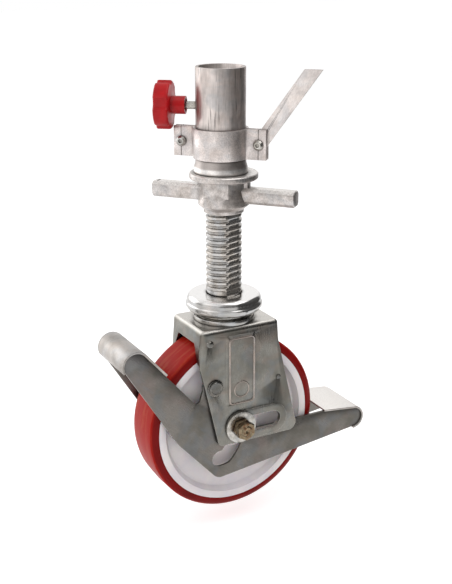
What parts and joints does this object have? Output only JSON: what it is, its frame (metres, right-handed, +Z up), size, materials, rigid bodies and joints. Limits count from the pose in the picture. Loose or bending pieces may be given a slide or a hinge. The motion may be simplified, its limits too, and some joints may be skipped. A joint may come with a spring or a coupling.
{
  "type": "levelling castor",
  "caption": "Braked swivel castor on a threaded jack spindle with wing nut and lock knob, clamped in the foot of a round leg tube; the brake lever slides the axle under the spindle",
  "frame": {"origin": "centre of the leg tube's upper cut face", "axes": "+Z up along the leg tube, +X the way the axle slides in the fork's slot with the castor trailing straight, Y along the axle with the two axle nuts on -Y"},
  "size_m": [0.2969, 0.1388, 0.477],
  "materials": {
    "leg_aluminium": "matt extruded aluminium, finely scratched",
    "bright_steel": "bright zinc plate",
    "bolt_steel": "zinc plated, satin",
    "red_knob": "moulded plastic, satin",
    "cast_zinc": "zinc plated casting, slightly uneven",
    "spindle_zinc": "zinc plated, rolled thread",
    "pressed_steel": "zinc plated sheet steel, satin, faintly iridescent",
    "yellow_zinc": "yellow zinc plate, dulled",
    "red_tread": "cast polyurethane, scuffed on the tread",
    "white_core": "moulded nylon, satin"
  },
  "bodies": {
    "leg": {"leg_tube": "leg_aluminium", "tube_lip": "bright_steel", "collar_front": "leg_aluminium", "collar_rear": "leg_aluminium", "brace_bar": "leg_aluminium", "collar_bolt_left": "bolt_steel", "collar_bolt_right": "bolt_steel", "collar_nut_left": "bolt_steel", "collar_nut_right": "bolt_steel"},
    "lock": {"lock_knob": "red_knob", "lock_screw": "bolt_steel"},
    "wing_nut": {"wing_nut": "cast_zinc"},
    "spindle": {"spindle": "spindle_zinc", "swivel_cap": "bright_steel", "upper_race": "spindle_zinc", "kingpin_washer": "spindle_zinc"},
    "fork": {"lower_race": "bright_steel", "thrust_ring": "spindle_zinc", "fork": "pressed_steel", "shoe_pin": "bolt_steel", "brake_shoe": "pressed_steel", "pivot_rivet_near": "spindle_zinc", "pivot_rivet_far": "spindle_zinc", "stop_pin_near": "bolt_steel", "stop_pin_far": "bolt_steel"},
    "lever": {"lever_plate_near": "pressed_steel", "lever_plate_far": "pressed_steel", "front_pedal": "pressed_steel", "rear_pedal": "pressed_steel"},
    "axle": {"axle_bolt": "yellow_zinc", "axle_nut_inner": "yellow_zinc", "axle_nut_outer": "yellow_zinc", "axle_sleeve": "spindle_zinc", "hub_washer_near": "spindle_zinc", "hub_washer_far": "spindle_zinc", "slot_bush_near": "spindle_zinc", "slot_bush_far": "spindle_zinc", "side_washer_near": "bolt_steel", "side_washer_far": "bolt_steel"},
    "wheel": {"tyre": "red_tread", "wheel_core": "white_core", "wheel_bearing_near": "spindle_zinc", "wheel_bearing_far": "spindle_zinc"}
  },
  "joints": [
    {"name": "lock_turn", "type": "hinge", "parent": "leg", "child": "lock", "pos_m": [-0.03993, 0.03009, -0.0391], "axis": [-0.7986, 0.6018, 0], "range_deg": [0, 720]},
    {"name": "nut_turn", "type": "hinge", "parent": "leg", "child": "wing_nut", "pos_m": [0.0024, -0.0018, -0.126], "axis": [0, 0, 1], "range_deg": [-2880, 1440]},
    {"name": "jack_slide", "type": "slide", "parent": "leg", "child": "spindle", "axis": [0, 0, -1], "range_m": [-0.05079, 0.02539]},
    {"name": "swivel", "type": "hinge", "parent": "spindle", "child": "fork", "pos_m": [0.0024, -0.0018, -0.2628], "axis": [0, 0, 1], "continuous": true},
    {"name": "lever_turn", "type": "hinge", "parent": "fork", "child": "lever", "pos_m": [-0.0267, -0.0018, -0.3272], "axis": [0, -1, 0], "range_deg": [0, 45]},
    {"name": "axle_slide", "type": "slide", "parent": "fork", "child": "axle", "axis": [1, 0, 0], "range_m": [0, 0.041]},
    {"name": "wheel_spin", "type": "hinge", "parent": "axle", "child": "wheel", "pos_m": [0.0024, -0.0018, -0.377], "axis": [0, 1, 0], "continuous": true}
  ],
  "couplings": [
    {"joint": "nut_turn", "follows": "jack_slide", "rad_per_m": 989.48},
    {"joint": "lever_turn", "follows": "axle_slide", "rad_per_m": 19.157}
  ]
}
